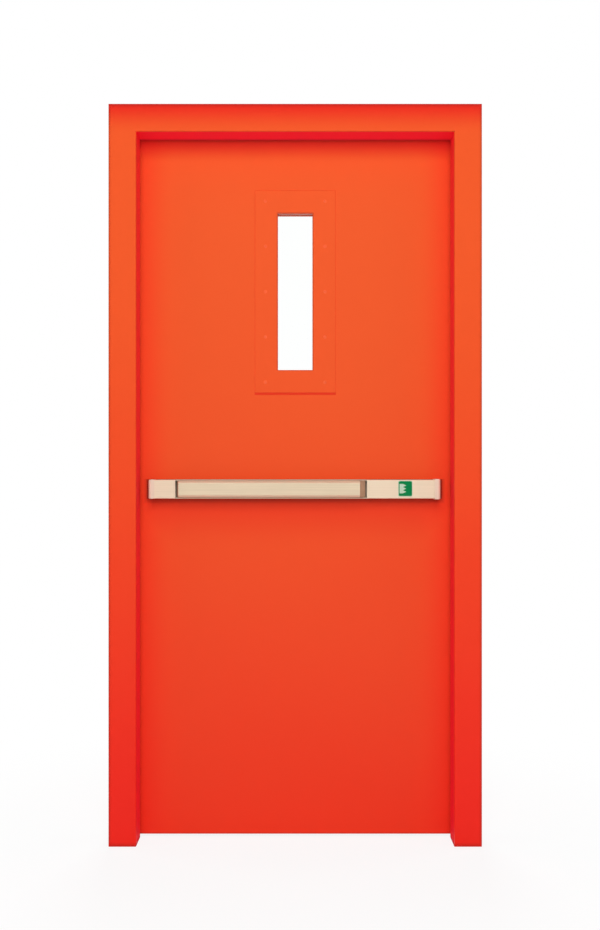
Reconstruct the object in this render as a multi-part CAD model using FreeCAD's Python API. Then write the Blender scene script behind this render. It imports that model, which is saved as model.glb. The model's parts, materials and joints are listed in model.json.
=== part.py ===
import FreeCAD, Part
import math
import os

# Steel utility door set, drawn from its push side.
# Lengths are millimetres. The build frame has x = 0 in the middle of the
# doorway (latch side -x, hinge side +x), y = 0 on the push-side face of the
# frame (+y towards the pull side) and z = 0 on the finished floor.
# Every piece is moved on export so that the origin lies on the hinge-jamb foot.

V = FreeCAD.Vector
X_AXIS = V(1, 0, 0)
Y_AXIS = V(0, 1, 0)
Z_AXIS = V(0, 0, 1)

# Doorway and folded frame
CLEAR_WIDTH = 900.0
CLEAR_HEIGHT = 2022.0
FACE_WIDTH = 78.0
REVEAL_DEPTH = 95.0
STOP_WIDTH = 20.0
RETURN_LIP = 15.0
FRAME_SHEET = 1.5
FRAME_BEND = 1.5

# Leaf
LEAF_THICK = 46.0
LEAF_SHEET = 1.2
LEAF_BEND = 1.2
STOP_GAP = 5.0
EDGE_GAP = 5.0
LATCH_GAP = 6.5
FLOOR_GAP = 8.0
SEAM_GAP = 0.6
CHANNEL_LEG = 25.0

# Vision panel
SIGHT_WIDTH = 101.0
SIGHT_HEIGHT = 455.0
SIGHT_DROP = 453.5
BEAD_FLANGE = 65.5
BEAD_SHEET = 1.5
BEAD_BEND = 1.5
BEAD_LIP = 8.0
GLASS_THICK = 6.0
GASKET_THICK = 3.0
GLASS_COVER = 9.0
CUTOUT_MARGIN = 12.5

# Hinges
HINGE_HEIGHT = 100.0
HINGE_FLAP = 36.0
HINGE_PLATE = 3.0
HINGE_LOW_Z = 260.0
HINGE_TOP_DROP = 220.0
KNUCKLES = 3
KNUCKLE_RADIUS = 7.0
KNUCKLE_STAND = 1.0
PIN_RADIUS = 3.0
PIN_TIP = 3.0
PIN_TAPER = 1.5
BACKING_PLATE = 4.0
BACKING_MARGIN = 14.0
BACKING_INSET = 4.0

# Exit bar
BAR_LATCH_GAP = 28.5
BAR_HINGE_GAP = 33.0
BAR_Z = 1010.0
RAIL_HEIGHT = 54.5
RAIL_DEPTH = 38.0
RAIL_BASE = 2.5
RAIL_WALL = 2.4
END_CAP_LENGTH = 17.0
LATCH_CAP_LIP = 0.5
HINGE_CAP_LIP = 2.0
END_CAP_WALL = 3.0
END_CAP_ROUND = 5.0
COVER_DEPTH = 47.0
COVER_BEND = 1.5
LATCH_COVER_LENGTH = 60.5
HINGE_COVER_LENGTH = 194.0
PAD_DEPTH = 62.0
PAD_HEIGHT = 47.5
PAD_FLAT = 34.0
PAD_BEVEL = 7.0
PAD_WALL = 1.8
PAD_BEND = 1.5
PAD_END_GAP = 5.0
LATCH_SLOPE = 5.0
HINGE_SLOPE = 16.0
PLUG_DROP = 16.0
PAD_TRAVEL = 15.0
PAD_CLEAR = 6.5
GUIDE_LENGTH = 34.0
GUIDE_DEPTH = 34.0

# Lock
FOREND_WIDTH = 24.0
FOREND_HEIGHT = 235.0
FOREND_THICK = 3.0
BOLT_THICK = 14.0
BOLT_HEIGHT = 32.0
BOLT_THROW = 13.0
BOLT_NOSE = 2.0
BOLT_TAIL = 45.0
CASE_DEPTH = 90.0
CASE_HEIGHT = 165.0
CASE_WALL = 1.5
STRIKE_HEIGHT = 160.0
STRIKE_FLANGE = 2.0
STRIKE_MARGIN = 18.0
STRIKE_SIDE = 6.0
STRIKE_BOX_DEPTH = 24.0
STRIKE_BOX_WALL = 1.5
STRIKE_CLEAR = 2.5

# Anchors and seals
FOOT_PLATE = 4.0
FOOT_SIDE = 6.0
FOOT_END = 2.0
FOOT_UPSTAND = 60.0
FOOT_HOLE_RADIUS = 6.0
FOOT_HOLE_SPACING = 40.0
STRAP_THICK = 3.0
STRAP_WIDTH = 40.0
STRAP_INSET = 4.0
STRAP_HOLE_RADIUS = 5.5
JAMB_STRAP_PITCH = 550.0
HEAD_STRAP_SPACING = 500.0
SEAL_WIDTH = 9.0
SEAL_THICK = 3.3
SEAL_FLOOR_GAP = 4.0

# Clearances
FIT = 0.3
SEAT = 0.2
PIN_FIT = 0.05

# Places that follow from the sizes above
HALF_CLEAR = CLEAR_WIDTH / 2
HALF_FRAME = HALF_CLEAR + FACE_WIDTH
FRAME_HEIGHT = CLEAR_HEIGHT + FACE_WIDTH
REBATE_X = HALF_CLEAR + STOP_WIDTH
REBATE_Z = CLEAR_HEIGHT + STOP_WIDTH
PUSH_Y = REVEAL_DEPTH + STOP_GAP
PULL_Y = PUSH_Y + LEAF_THICK
MID_Y = (PUSH_Y + PULL_Y) / 2
LEAF_HINGE_X = REBATE_X - EDGE_GAP
LEAF_LATCH_X = LATCH_GAP - REBATE_X
LEAF_TOP_Z = REBATE_Z - EDGE_GAP
SIGHT_CENTRE_Z = LEAF_TOP_Z - SIGHT_DROP
HINGE_X = (REBATE_X + LEAF_HINGE_X) / 2
HINGE_Y = PULL_Y + KNUCKLE_STAND + KNUCKLE_RADIUS
HINGE_TOP_Z = LEAF_TOP_Z - HINGE_TOP_DROP
FOOT_X = HALF_CLEAR + FACE_WIDTH / 2
FOOT_FLAT_Y = FRAME_SHEET + 2 * FOOT_PLATE
FOOT_END_Y = REVEAL_DEPTH - FRAME_SHEET - FOOT_END
FOOT_Y = (FOOT_FLAT_Y + FOOT_END_Y) / 2


# Helpers: bent sheet, prisms and boxes

def offset_points(points, distance):
    """Points moved to the right of the line they make, corners kept sharp."""
    moved = []
    for i, point in enumerate(points):
        legs = []
        if i > 0:
            legs.append((point - points[i - 1]).normalize())
        if i + 1 < len(points):
            legs.append((points[i + 1] - point).normalize())
        normals = [V(leg.y, -leg.x, 0) for leg in legs]
        bisector = (normals[0] + normals[-1]).normalize()
        moved.append(point + bisector * (distance / (bisector * normals[0])))
    return moved


def rounded_edges(points, left_radius, right_radius):
    """Edges along the points, each corner an arc whose radius goes by its turn."""
    edges = []
    start = points[0]
    for before, corner, after in zip(points, points[1:], points[2:]):
        d1 = (corner - before).normalize()
        d2 = (after - corner).normalize()
        turn = math.atan2(d1.x * d2.y - d1.y * d2.x, d1 * d2)
        radius = left_radius if turn > 0 else right_radius
        reach = radius * math.tan(abs(turn) / 2)
        first = corner - d1 * reach
        last = corner + d2 * reach
        side = V(-d1.y, d1.x, 0) * (1 if turn > 0 else -1)
        centre = first + side * radius
        middle = centre + (corner - centre).normalize() * radius
        edges.append(Part.makeLine(start, first))
        edges.append(Part.Arc(first, middle, last).toShape())
        start = last
    edges.append(Part.makeLine(start, points[-1]))
    return edges


def strip_face(corners, thick, radius):
    """Section of a bent sheet: corners run along one side, the metal on their right."""
    points = [V(x, y, 0) for x, y in corners]
    inner = offset_points(points, thick)
    edges = rounded_edges(points, radius, radius + thick)
    edges += rounded_edges(inner, radius + thick, radius)
    edges.append(Part.makeLine(points[0], inner[0]))
    edges.append(Part.makeLine(points[-1], inner[-1]))
    return Part.Face(Part.Wire(Part.__sortEdges__(edges)))


def polygon_face(corners):
    """Face in the plane z = 0 inside a closed list of corners."""
    points = [V(x, y, 0) for x, y in corners]
    return Part.Face(Part.makePolygon(points + points[:1]))


def upright(face, z0, z1):
    """Section drawn as (x, y) carried up from z0 to z1."""
    return face.translated(V(0, 0, z0)).extrude(V(0, 0, z1 - z0))


def along_x(face, x0, x1):
    """Section drawn as (y, z) carried along x from x0 to x1."""
    turned = face.rotated(V(), V(1, 1, 1), 120)
    return turned.translated(V(x0, 0, 0)).extrude(V(x1 - x0, 0, 0))


def xz_prism(corners, y0, y1):
    """Outline drawn as (x, z) carried along y from y0 to y1."""
    points = [V(x, y0, z) for x, z in corners]
    return Part.Face(Part.makePolygon(points + points[:1])).extrude(V(0, y1 - y0, 0))


def box(x0, x1, y0, y1, z0, z1):
    """Box between two corners."""
    return Part.makeBox(x1 - x0, y1 - y0, z1 - z0, V(x0, y0, z0))


def block(x0, x1, y, half_y, z, half_z):
    """Box along x, centred on y and z."""
    return box(x0, x1, y - half_y, y + half_y, z - half_z, z + half_z)


def mirror_x(shape):
    """The same piece on the other side of the doorway's middle."""
    return shape.mirror(V(), X_AXIS)


def cut_all(shape, tools):
    """Shape with every tool taken out of it."""
    for tool in tools:
        shape = shape.cut(tool)
    return shape


nodes = {}


# Frame: one folded section for both jambs and the head, mitred at the corners

frame_section = strip_face(
    [
        (HALF_FRAME, RETURN_LIP),
        (HALF_FRAME, 0),
        (HALF_CLEAR, 0),
        (HALF_CLEAR, REVEAL_DEPTH),
        (REBATE_X, REVEAL_DEPTH),
        (REBATE_X, PULL_Y),
        (HALF_FRAME, PULL_Y),
        (HALF_FRAME, PULL_Y - RETURN_LIP),
    ],
    FRAME_SHEET,
    FRAME_BEND,
)
jamb_outline = [
    (HALF_CLEAR, 0),
    (HALF_FRAME, 0),
    (HALF_FRAME, FRAME_HEIGHT),
    (HALF_CLEAR, CLEAR_HEIGHT),
]
head_outline = [
    (-HALF_FRAME, FRAME_HEIGHT),
    (HALF_FRAME, FRAME_HEIGHT),
    (HALF_CLEAR, CLEAR_HEIGHT),
    (-HALF_CLEAR, CLEAR_HEIGHT),
]
hinge_jamb = upright(frame_section, 0, FRAME_HEIGHT)
hinge_jamb = hinge_jamb.common(xz_prism(jamb_outline, 0, PULL_Y))
latch_jamb = mirror_x(hinge_jamb)
head = upright(frame_section, -HALF_FRAME, HALF_FRAME).rotated(V(), Y_AXIS, -90)
head = head.translated(V(0, 0, CLEAR_HEIGHT - HALF_CLEAR))
head = head.common(xz_prism(head_outline, 0, PULL_Y))
nodes["frame_head"] = [head]

# Floor anchors: a folded foot welded inside each jamb and bolted to the floor

foot_section = strip_face(
    [(FOOT_END_Y, 0), (FRAME_SHEET, 0), (FRAME_SHEET, FOOT_UPSTAND)],
    FOOT_PLATE,
    FOOT_PLATE,
)
foot_half = FACE_WIDTH / 2 - FOOT_SIDE
foot = along_x(foot_section, FOOT_X - foot_half, FOOT_X + foot_half)
for side in (-1, 1):
    hole_at = V(FOOT_X, FOOT_Y + side * FOOT_HOLE_SPACING / 2, -FOOT_PLATE)
    foot = foot.cut(Part.makeCylinder(FOOT_HOLE_RADIUS, 3 * FOOT_PLATE, hole_at))
nodes["hinge_jamb_floor_anchor"] = [foot]
nodes["latch_jamb_floor_anchor"] = [mirror_x(foot)]

# Wall anchors: flat straps across the open back of the section, one hole each

strap_x = HALF_FRAME - FRAME_SHEET
strap_mid_y = PULL_Y / 2
strap = block(
    strap_x - STRAP_THICK, strap_x, strap_mid_y, strap_mid_y - STRAP_INSET, 0, STRAP_WIDTH / 2
)
strap = strap.cut(
    Part.makeCylinder(
        STRAP_HOLE_RADIUS,
        3 * STRAP_THICK,
        V(strap_x - 2 * STRAP_THICK, strap_mid_y, 0),
        X_AXIS,
    )
)
strap_zs = [FRAME_HEIGHT / 2 + (i - 1.5) * JAMB_STRAP_PITCH for i in range(4)]
jamb_straps = [strap.translated(V(0, 0, z)) for z in strap_zs]
nodes["hinge_jamb_wall_anchors"] = jamb_straps
nodes["latch_jamb_wall_anchors"] = [mirror_x(s) for s in jamb_straps]
head_strap = strap.rotated(V(), Y_AXIS, -90).translated(V(0, 0, CLEAR_HEIGHT - HALF_CLEAR))
nodes["head_wall_anchors"] = [
    head_strap.translated(V(side * HEAD_STRAP_SPACING / 2, 0, 0)) for side in (-1, 1)
]

# Stop seals: a D-shaped rubber strip along the stop, clear of the closed leaf

seal_y = REVEAL_DEPTH + SEAT
seal_mid = STOP_WIDTH / 2


def seal_face(middle):
    """D section drawn as (across, y): flat against the stop, round to the leaf."""
    first = V(middle - SEAL_WIDTH / 2, seal_y, 0)
    last = V(middle + SEAL_WIDTH / 2, seal_y, 0)
    crown = V(middle, seal_y + SEAL_THICK, 0)
    edges = [Part.Arc(first, crown, last).toShape(), Part.makeLine(last, first)]
    return Part.Face(Part.Wire(edges))


seal_head_z = CLEAR_HEIGHT + seal_mid
seal_end_z = seal_head_z - SEAL_WIDTH / 2 - FIT
seal_half = HALF_CLEAR + seal_mid + SEAL_WIDTH / 2
jamb_seal = upright(seal_face(HALF_CLEAR + seal_mid), SEAL_FLOOR_GAP, seal_end_z)
head_seal = upright(seal_face(0), -seal_half, seal_half).rotated(V(), Y_AXIS, -90)
nodes["hinge_jamb_seal"] = [jamb_seal]
nodes["latch_jamb_seal"] = [mirror_x(jamb_seal)]
nodes["head_seal"] = [head_seal.translated(V(0, 0, seal_head_z))]

# Leaf: two pressed skins that meet at a seam round the edge, closed by channels

leaf_cuts = [
    xz_prism(
        [
            (sx * (SIGHT_WIDTH / 2 + CUTOUT_MARGIN),
             SIGHT_CENTRE_Z + sz * (SIGHT_HEIGHT / 2 + CUTOUT_MARGIN))
            for sx, sz in ((-1, -1), (1, -1), (1, 1), (-1, 1))
        ],
        PUSH_Y - LEAF_SHEET,
        PULL_Y + LEAF_SHEET,
    )
]


def skin(face_y, seam_y, order):
    """Skin with its two long edges turned in as far as the seam."""
    corners = [
        (LEAF_HINGE_X, seam_y),
        (LEAF_HINGE_X, face_y),
        (LEAF_LATCH_X, face_y),
        (LEAF_LATCH_X, seam_y),
    ]
    section = strip_face(corners[::order], LEAF_SHEET, LEAF_BEND)
    return upright(section, FLOOR_GAP, LEAF_TOP_Z)


push_skin = skin(PUSH_Y, MID_Y - SEAM_GAP / 2, 1)
pull_skin = skin(PULL_Y, MID_Y + SEAM_GAP / 2, -1)

channel_y0 = PUSH_Y + LEAF_SHEET
channel_y1 = PULL_Y - LEAF_SHEET
channel_end = LEAF_SHEET + LEAF_BEND + FIT


def edge_channel(web_z, leg_z, order):
    """Folded channel between the skins, its web flush with the leaf's end."""
    corners = [(channel_y0, leg_z), (channel_y0, web_z), (channel_y1, web_z), (channel_y1, leg_z)]
    section = strip_face(corners[::order], LEAF_SHEET, LEAF_BEND)
    return along_x(section, LEAF_LATCH_X + channel_end, LEAF_HINGE_X - channel_end)


nodes["leaf_top_channel"] = [edge_channel(LEAF_TOP_Z, LEAF_TOP_Z - CHANNEL_LEG, 1)]
nodes["leaf_bottom_channel"] = [edge_channel(FLOOR_GAP, FLOOR_GAP + CHANNEL_LEG, -1)]

# Hinges: flush flaps let into jamb and leaf, knuckles in turn on one pin

half_hinge = HINGE_HEIGHT / 2
knuckle_pitch = HINGE_HEIGHT / KNUCKLES
flap_y = PULL_Y - HINGE_FLAP
backing_half = half_hinge + BACKING_MARGIN
backing_y0 = PUSH_Y + BACKING_INSET
backing_y1 = PULL_Y - BACKING_INSET


def knuckle(base_z, index, radius, gap):
    """One knuckle's cylinder, shortened by the gap at each end."""
    at = V(HINGE_X, HINGE_Y, base_z + index * knuckle_pitch + gap)
    return Part.makeCylinder(radius, knuckle_pitch - 2 * gap, at)


def hinge_flap(x0, x1, middle_z, first):
    """Flap with every second knuckle from the first; the others get room."""
    base_z = middle_z - half_hinge
    flap = box(x0, x1, flap_y, HINGE_Y, base_z, base_z + HINGE_HEIGHT)
    for i in range(KNUCKLES):
        if i % 2 == first:
            flap = flap.fuse(knuckle(base_z, i, KNUCKLE_RADIUS, FIT / 2))
        else:
            flap = flap.cut(knuckle(base_z, i, KNUCKLE_RADIUS + FIT, -FIT / 2))
    bore = Part.makeCylinder(PIN_RADIUS + PIN_FIT, HINGE_HEIGHT, V(HINGE_X, HINGE_Y, base_z))
    return flap.cut(bore).removeSplitter()


def hinge_pin(middle_z):
    """Pin with a tapered button on top, its lower end flush with the last knuckle."""
    base_z = middle_z - half_hinge
    pin = Part.makeCylinder(PIN_RADIUS, HINGE_HEIGHT, V(HINGE_X, HINGE_Y, base_z))
    root_radius = KNUCKLE_RADIUS - KNUCKLE_STAND
    tip_radius = root_radius - PIN_TAPER
    root = V(HINGE_X, HINGE_Y, base_z + HINGE_HEIGHT)
    pin = pin.fuse(Part.makeCone(root_radius, tip_radius, PIN_TIP, root, Z_AXIS))
    return pin.removeSplitter()


frame_flap_x1 = REBATE_X + HINGE_PLATE
leaf_flap_x0 = LEAF_HINGE_X - HINGE_PLATE
frame_backings = []
leaf_backings = []
hinge_heights = {
    "lower": HINGE_LOW_Z,
    "middle": (HINGE_LOW_Z + HINGE_TOP_Z) / 2,
    "upper": HINGE_TOP_Z,
}
for place, z in hinge_heights.items():
    nodes[f"{place}_hinge_frame_flap"] = [hinge_flap(REBATE_X, frame_flap_x1, z, 0)]
    nodes[f"{place}_hinge_leaf_flap"] = [hinge_flap(leaf_flap_x0, LEAF_HINGE_X, z, 1)]
    nodes[f"{place}_hinge_pin"] = [hinge_pin(z)]
    low = z - half_hinge - FIT
    high = z + half_hinge + FIT
    recess_y = flap_y - FIT
    frame_recess = box(REBATE_X - EDGE_GAP, frame_flap_x1, recess_y, HINGE_Y, low, high)
    leaf_recess = box(leaf_flap_x0, LEAF_HINGE_X + EDGE_GAP, recess_y, HINGE_Y, low, high)
    frame_backing = box(
        REBATE_X + FRAME_SHEET, frame_flap_x1 + BACKING_PLATE,
        backing_y0, backing_y1, z - backing_half, z + backing_half,
    )
    leaf_backing = box(
        leaf_flap_x0 - BACKING_PLATE, LEAF_HINGE_X - LEAF_SHEET,
        backing_y0, backing_y1, z - backing_half, z + backing_half,
    )
    frame_backings.append(frame_backing.cut(frame_recess))
    leaf_backings.append(leaf_backing.cut(leaf_recess))
    hinge_jamb = hinge_jamb.cut(frame_recess.fuse(frame_recess.translated(V(FIT, 0, 0))))
    leaf_cuts.append(leaf_recess.fuse(leaf_recess.translated(V(-FIT, 0, 0))))
nodes["frame_hinge_backings"] = frame_backings
nodes["leaf_hinge_backings"] = leaf_backings
nodes["hinge_jamb"] = [hinge_jamb]

# Glazing: folded bead frames on both faces hold the glass between two gaskets


def mitred_ring(section, half_width, half_height, reach):
    """Section drawn as (outward, y) carried round a rectangle with mitred corners."""
    length = max(half_width, half_height) + reach
    bar = upright(section, -length, length)
    side_outline = [
        (half_width, -half_height),
        (half_width + reach, -half_height - reach),
        (half_width + reach, half_height + reach),
        (half_width, half_height),
    ]
    end_outline = [
        (-half_width, half_height),
        (-half_width - reach, half_height + reach),
        (half_width + reach, half_height + reach),
        (half_width, half_height),
    ]
    right = bar.translated(V(half_width, 0, 0)).common(xz_prism(side_outline, 0, PULL_Y))
    top = bar.rotated(V(), Y_AXIS, -90).translated(V(0, 0, half_height))
    top = top.common(xz_prism(end_outline, 0, PULL_Y))
    ring = right.fuse([mirror_x(right), top, top.mirror(V(), Z_AXIS)])
    return ring.removeSplitter()


half_sight_w = SIGHT_WIDTH / 2
half_sight_h = SIGHT_HEIGHT / 2
bead_face_y = PUSH_Y - BEAD_SHEET
bead_lip_y = MID_Y - GLASS_THICK / 2 - GASKET_THICK
bead_section = strip_face(
    [(BEAD_FLANGE, bead_face_y), (0, bead_face_y), (0, bead_lip_y), (BEAD_LIP, bead_lip_y)],
    BEAD_SHEET,
    BEAD_BEND,
)
push_bead = mitred_ring(bead_section, half_sight_w, half_sight_h, BEAD_FLANGE)
push_bead = push_bead.translated(V(0, 0, SIGHT_CENTRE_Z))


def panel(margin, y0, y1):
    """Flat pane centred on the sight opening, larger than it by the margin."""
    return box(
        -half_sight_w - margin, half_sight_w + margin, y0, y1,
        SIGHT_CENTRE_Z - half_sight_h - margin, SIGHT_CENTRE_Z + half_sight_h + margin,
    )


gasket_margin = BEAD_SHEET + FIT
gasket_y0 = bead_lip_y + SEAT
gasket_y1 = MID_Y - GLASS_THICK / 2 - SEAT
push_gasket = panel(BEAD_LIP, gasket_y0, gasket_y1).cut(panel(gasket_margin, 0, PULL_Y))
mid_plane = V(0, MID_Y, 0)
nodes["push_side_glazing_bead"] = [push_bead]
nodes["pull_side_glazing_bead"] = [push_bead.mirror(mid_plane, Y_AXIS)]
nodes["push_side_glazing_gasket"] = [push_gasket]
nodes["pull_side_glazing_gasket"] = [push_gasket.mirror(mid_plane, Y_AXIS)]
nodes["vision_glass"] = [panel(GLASS_COVER, MID_Y - GLASS_THICK / 2, MID_Y + GLASS_THICK / 2)]

# Exit bar: open rail on the push face, fixed covers and caps at both ends

bar_latch_x = BAR_LATCH_GAP - HALF_CLEAR
bar_hinge_x = HALF_CLEAR - BAR_HINGE_GAP
half_rail = RAIL_HEIGHT / 2
rail_latch_x = bar_latch_x + END_CAP_LENGTH
rail_hinge_x = bar_hinge_x - END_CAP_LENGTH
rail_front = PUSH_Y - RAIL_DEPTH
rail_floor = PUSH_Y - RAIL_BASE
rail_inner = half_rail - RAIL_WALL
rail_section = polygon_face(
    [
        (PUSH_Y, half_rail),
        (rail_front, half_rail),
        (rail_front, rail_inner),
        (rail_floor, rail_inner),
        (rail_floor, -rail_inner),
        (rail_front, -rail_inner),
        (rail_front, -half_rail),
        (PUSH_Y, -half_rail),
    ]
)
bar_level = V(0, 0, BAR_Z)
nodes["exit_bar_rail"] = [along_x(rail_section, rail_latch_x, rail_hinge_x).translated(bar_level)]

cover_front = PUSH_Y - COVER_DEPTH
cover_section = strip_face(
    [
        (rail_front, -half_rail),
        (cover_front, -half_rail),
        (cover_front, half_rail),
        (rail_front, half_rail),
    ],
    RAIL_WALL,
    COVER_BEND,
)
latch_cover_end = rail_latch_x + LATCH_COVER_LENGTH
hinge_cover_end = rail_hinge_x - HINGE_COVER_LENGTH
latch_cover = along_x(cover_section, rail_latch_x, latch_cover_end)
hinge_cover = along_x(cover_section, hinge_cover_end, rail_hinge_x)
nodes["exit_bar_latch_cover"] = [latch_cover.translated(bar_level)]
nodes["exit_bar_hinge_cover"] = [hinge_cover.translated(bar_level)]


def end_cap(bar_x, lip):
    """Hollow cap over the hinge end of a bar, proud of the cover by the lip, its nose rounded."""
    half = half_rail + lip
    front = cover_front - lip
    root = bar_x - END_CAP_LENGTH
    cap = box(root, bar_x, front, PUSH_Y, -half, half)
    nose = [e for e in cap.Edges if e.BoundBox.XMin > bar_x - FIT and e.BoundBox.YMax < front + FIT]
    cap = cap.makeFillet(END_CAP_ROUND, nose)
    hollow = box(
        root, bar_x - END_CAP_WALL, front + END_CAP_WALL, PUSH_Y - END_CAP_WALL,
        END_CAP_WALL - half, half - END_CAP_WALL,
    )
    return cap.cut(hollow).translated(bar_level)


nodes["exit_bar_hinge_end_cap"] = [end_cap(bar_hinge_x, HINGE_CAP_LIP)]
nodes["exit_bar_latch_end_cap"] = [mirror_x(end_cap(-bar_latch_x, LATCH_CAP_LIP))]

# Push pad: bevelled channel that slides into the rail, with a plug at each end

half_pad = PAD_HEIGHT / 2
half_flat = PAD_FLAT / 2
pad_front = PUSH_Y - PAD_DEPTH
pad_shoulder = pad_front + PAD_BEVEL
pad_back = rail_floor - PAD_TRAVEL - PAD_CLEAR
pad_corners = [
    (pad_back, -half_pad),
    (pad_shoulder, -half_pad),
    (pad_front, -half_flat),
    (pad_front, half_flat),
    (pad_shoulder, half_pad),
    (pad_back, half_pad),
]
pad_x0 = latch_cover_end + PAD_END_GAP + LATCH_SLOPE
pad_x1 = hinge_cover_end - PAD_END_GAP - HINGE_SLOPE
pad = along_x(strip_face(pad_corners, PAD_WALL, PAD_BEND), pad_x0, pad_x1)
nodes["push_pad"] = [pad.translated(bar_level)]


def end_plug(root_x, tip_x):
    """Solid end of the pad's own section, its front sloping back from root to tip."""
    slope_outline = [
        (root_x, pad_front),
        (tip_x, pad_front + PLUG_DROP),
        (tip_x, pad_back),
        (root_x, pad_back),
    ]
    plug = along_x(polygon_face(pad_corners), min(root_x, tip_x), max(root_x, tip_x))
    wedge = upright(polygon_face(slope_outline), -half_pad, half_pad)
    return plug.common(wedge).translated(bar_level)


nodes["push_pad_end_plugs"] = [
    end_plug(pad_x0, pad_x0 - LATCH_SLOPE),
    end_plug(pad_x1, pad_x1 + HINGE_SLOPE),
]

guide_half = half_pad - PAD_WALL - FIT
guides = []
for share in (0.2, 0.8):
    guide_x = pad_x0 + share * (pad_x1 - pad_x0)
    guides.append(
        box(
            guide_x - GUIDE_LENGTH / 2, guide_x + GUIDE_LENGTH / 2,
            PUSH_Y - GUIDE_DEPTH, rail_floor, BAR_Z - guide_half, BAR_Z + guide_half,
        )
    )
nodes["exit_bar_pad_guides"] = guides

# Lock: forend flush in the leaf's edge, case behind it and the sprung latch bolt

half_bolt_y = BOLT_THICK / 2
half_bolt_z = BOLT_HEIGHT / 2
forend_back = LEAF_LATCH_X + FOREND_THICK
forend = block(
    LEAF_LATCH_X, forend_back, MID_Y, FOREND_WIDTH / 2, BAR_Z, FOREND_HEIGHT / 2
)
bolt_way = block(
    LEAF_LATCH_X - BOLT_THROW, LEAF_LATCH_X + CASE_DEPTH,
    MID_Y, half_bolt_y + FIT, BAR_Z, half_bolt_z + FIT,
)
nodes["lock_forend"] = [forend.cut(bolt_way)]
leaf_cuts.append(
    block(
        LEAF_LATCH_X - LEAF_SHEET, forend_back,
        MID_Y, FOREND_WIDTH / 2 + FIT, BAR_Z, FOREND_HEIGHT / 2 + FIT,
    )
)
case_y = half_bolt_y + FIT
case = block(
    forend_back, LEAF_LATCH_X + CASE_DEPTH, MID_Y, case_y + CASE_WALL, BAR_Z, CASE_HEIGHT / 2
)
case = case.cut(
    block(
        forend_back, LEAF_LATCH_X + CASE_DEPTH - CASE_WALL,
        MID_Y, case_y, BAR_Z, CASE_HEIGHT / 2 - CASE_WALL,
    )
)
nodes["lock_case"] = [case]
bolt_outline = [
    (LEAF_LATCH_X + BOLT_TAIL, MID_Y - half_bolt_y),
    (LEAF_LATCH_X + BOLT_TAIL, MID_Y + half_bolt_y),
    (LEAF_LATCH_X - BOLT_THROW, MID_Y + half_bolt_y),
    (LEAF_LATCH_X - BOLT_THROW, MID_Y + half_bolt_y - BOLT_NOSE),
    (LEAF_LATCH_X, MID_Y - half_bolt_y),
]
nodes["latch_bolt"] = [
    upright(polygon_face(bolt_outline), BAR_Z - half_bolt_z, BAR_Z + half_bolt_z)
]

# Strike: plate flush in the latch jamb, with a flanged box behind it

strike_back = -REBATE_X - FRAME_SHEET
strike_hole_y = half_bolt_y + STRIKE_CLEAR
strike_hole_z = half_bolt_z + STRIKE_CLEAR
strike_hole = block(
    strike_back - STRIKE_BOX_DEPTH, -REBATE_X + EDGE_GAP,
    MID_Y, strike_hole_y, BAR_Z, strike_hole_z,
)
strike = block(strike_back, -REBATE_X, MID_Y, FOREND_WIDTH / 2, BAR_Z, STRIKE_HEIGHT / 2)
nodes["strike_plate"] = [strike.cut(strike_hole)]
latch_jamb = latch_jamb.cut(
    block(
        strike_back - FIT, -REBATE_X + EDGE_GAP,
        MID_Y, FOREND_WIDTH / 2 + FIT, BAR_Z, STRIKE_HEIGHT / 2 + FIT,
    )
)
strike_box = block(
    strike_back - STRIKE_FLANGE, strike_back,
    MID_Y, FOREND_WIDTH / 2 + STRIKE_SIDE, BAR_Z, STRIKE_HEIGHT / 2 + STRIKE_MARGIN,
)
strike_box = strike_box.fuse(
    block(
        strike_back - STRIKE_BOX_DEPTH - STRIKE_BOX_WALL, strike_back,
        MID_Y, strike_hole_y + STRIKE_BOX_WALL, BAR_Z, strike_hole_z + STRIKE_BOX_WALL,
    )
)
nodes["strike_box"] = [strike_box.cut(strike_hole).removeSplitter()]
nodes["latch_jamb"] = [latch_jamb]

nodes["leaf_push_skin"] = [cut_all(push_skin, leaf_cuts)]
nodes["leaf_pull_skin"] = [cut_all(pull_skin, leaf_cuts)]

# Export, with the origin moved onto the hinge-jamb foot

os.makedirs("parts", exist_ok=True)
to_part_frame = V(-FOOT_X, -FOOT_Y, 0)
for name, solids in nodes.items():
    placed = [solid.translated(to_part_frame) for solid in solids]
    shape = placed[0] if len(placed) == 1 else Part.makeCompound(placed)
    shape.exportStep(f"parts/{name}.step")
    print(name, len(solids), round(shape.Volume / 1000, 1), "cm3", shape.isValid())
print(len(nodes), "nodes")
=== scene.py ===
# %% [markdown]
# # A steel utility door
# The door set is a folded steel frame, a hollow steel leaf with a narrow window and a
# touch bar across its push side. The solids come in at their true size and place. This
# lesson gives every surface its finish, adds the small pieces that a solid model leaves
# out, such as screws, welds and the little sign, and sets the door in a plain studio.

# %% Load the solids
import json
import math

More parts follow.
